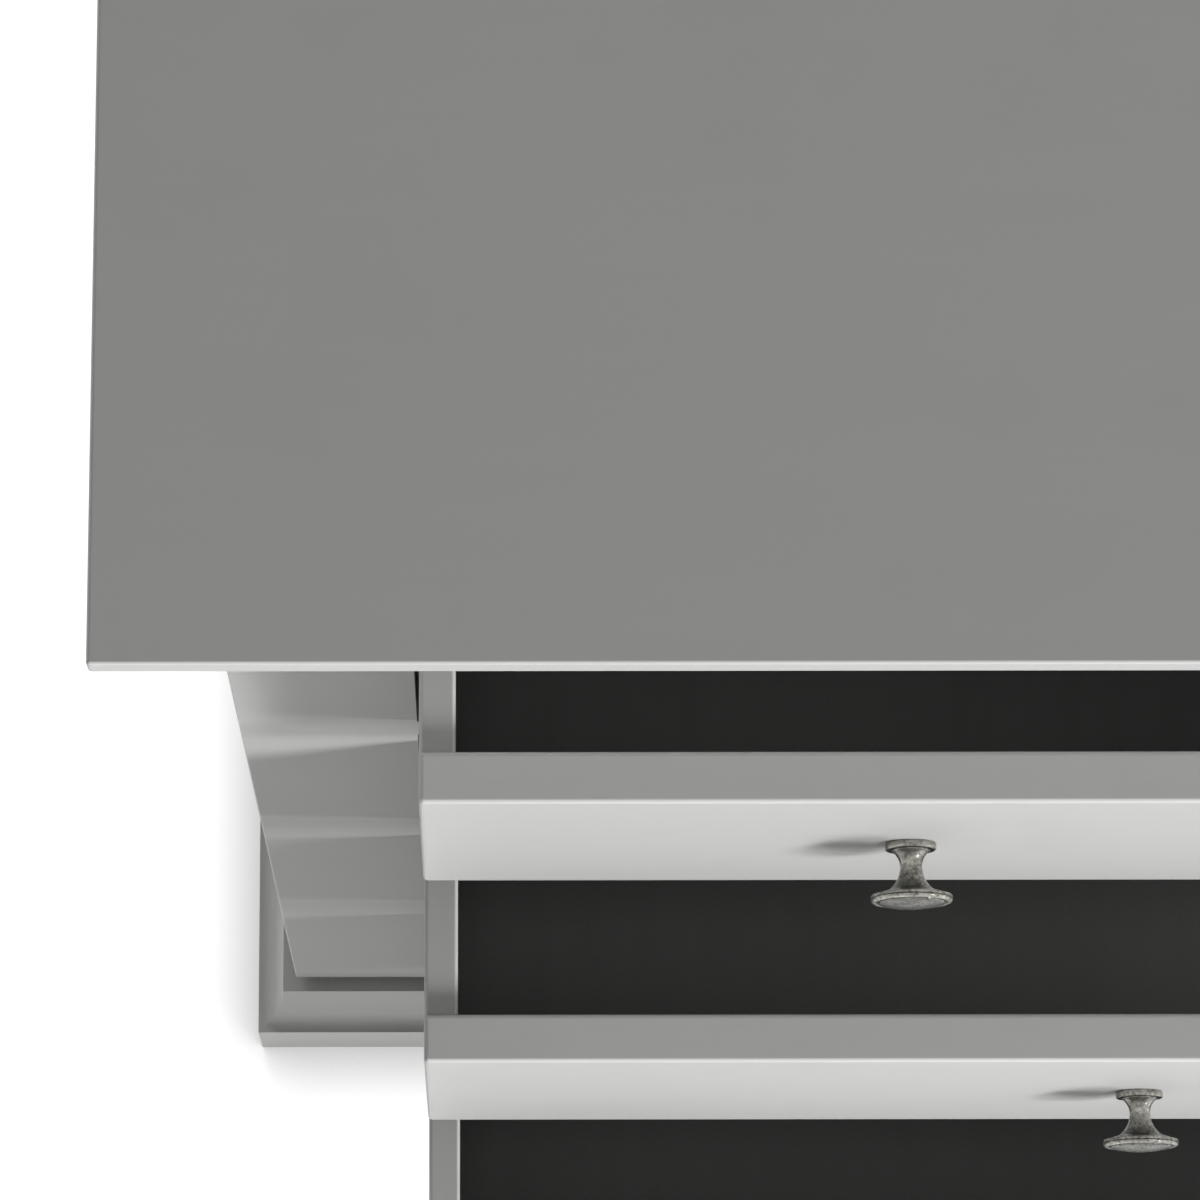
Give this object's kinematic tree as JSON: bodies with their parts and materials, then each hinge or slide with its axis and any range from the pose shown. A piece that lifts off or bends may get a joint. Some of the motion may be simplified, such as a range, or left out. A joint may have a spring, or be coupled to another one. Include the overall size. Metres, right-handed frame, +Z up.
{
  "type": "chest of drawers",
  "caption": "Wide painted chest of inset drawers, small ones above large, with a coved plinth, crown moulding and pewter knobs; the left column stands open in steps.",
  "frame": {"origin": "on the floor, below the middle of the bounding box at rest", "axes": "+Z up, -Y towards the front where the drawers open, +X to the right seen from the front"},
  "size_m": [1.526, 0.7706, 1.0651],
  "materials": {
    "paint": "light grey painted wood, eggshell",
    "lining": "charcoal stained drawer bottom, matt",
    "pewter": "aged pewter, mottled and burnished on the edges",
    "bare_wood": "plain unfinished softwood",
    "back": "thin plywood back, grey stained"
  },
  "bodies": {
    "case": {"side_left": "paint", "side_right": "paint", "back_panel": "back", "bottom_panel": "paint", "stile_left": "paint", "stile_right": "paint", "bottom_rail": "paint", "lower_rail": "paint", "middle_rail": "paint", "upper_rail": "paint", "top_rail": "paint", "mullions": "paint", "top_board": "paint", "crown_front": "paint", "crown_left": "paint", "crown_right": "paint", "plinth_front": "paint", "plinth_left": "paint", "plinth_right": "paint", "plinth_back": "bare_wood", "top_web_frame": "bare_wood", "second_web_frame": "bare_wood", "third_web_frame": "bare_wood", "bottom_web_frame": "bare_wood"},
    "top_left_drawer": {"top_left_front": "paint", "top_left_box": "paint", "top_left_bottom": "lining", "top_left_knob": "pewter"},
    "top_middle_drawer": {"top_middle_front": "paint", "top_middle_box": "paint", "top_middle_bottom": "lining", "top_middle_knob": "pewter"},
    "top_right_drawer": {"top_right_front": "paint", "top_right_box": "paint", "top_right_bottom": "lining", "top_right_knob": "pewter"},
    "second_left_drawer": {"second_left_front": "paint", "second_left_box": "paint", "second_left_bottom": "lining", "second_left_knob": "pewter"},
    "second_right_drawer": {"second_right_front": "paint", "second_right_box": "paint", "second_right_bottom": "lining", "second_right_knob": "pewter"},
    "third_left_drawer": {"third_left_front": "paint", "third_left_box": "paint", "third_left_bottom": "lining", "third_left_knob": "pewter"},
    "third_right_drawer": {"third_right_front": "paint", "third_right_box": "paint", "third_right_bottom": "lining", "third_right_knob": "pewter"},
    "bottom_left_drawer": {"bottom_left_front": "paint", "bottom_left_box": "paint", "bottom_left_bottom": "lining", "bottom_left_knob": "pewter"},
    "bottom_right_drawer": {"bottom_right_front": "paint", "bottom_right_box": "paint", "bottom_right_bottom": "lining", "bottom_right_knob": "pewter"}
  },
  "joints": [
    {"name": "top_left_slide", "type": "slide", "parent": "case", "child": "top_left_drawer", "axis": [0, -1, 0], "range_m": [-0.067, 0.263]},
    {"name": "top_middle_slide", "type": "slide", "parent": "case", "child": "top_middle_drawer", "axis": [0, -1, 0], "range_m": [0, 0.33]},
    {"name": "top_right_slide", "type": "slide", "parent": "case", "child": "top_right_drawer", "axis": [0, -1, 0], "range_m": [0, 0.33]},
    {"name": "second_left_slide", "type": "slide", "parent": "case", "child": "second_left_drawer", "axis": [0, -1, 0], "range_m": [-0.137, 0.193]},
    {"name": "second_right_slide", "type": "slide", "parent": "case", "child": "second_right_drawer", "axis": [0, -1, 0], "range_m": [0, 0.33]},
    {"name": "third_left_slide", "type": "slide", "parent": "case", "child": "third_left_drawer", "axis": [0, -1, 0], "range_m": [-0.207, 0.123]},
    {"name": "third_right_slide", "type": "slide", "parent": "case", "child": "third_right_drawer", "axis": [0, -1, 0], "range_m": [0, 0.33]},
    {"name": "bottom_left_slide", "type": "slide", "parent": "case", "child": "bottom_left_drawer", "axis": [0, -1, 0], "range_m": [-0.277, 0.053]},
    {"name": "bottom_right_slide", "type": "slide", "parent": "case", "child": "bottom_right_drawer", "axis": [0, -1, 0], "range_m": [0, 0.33]}
  ]
}
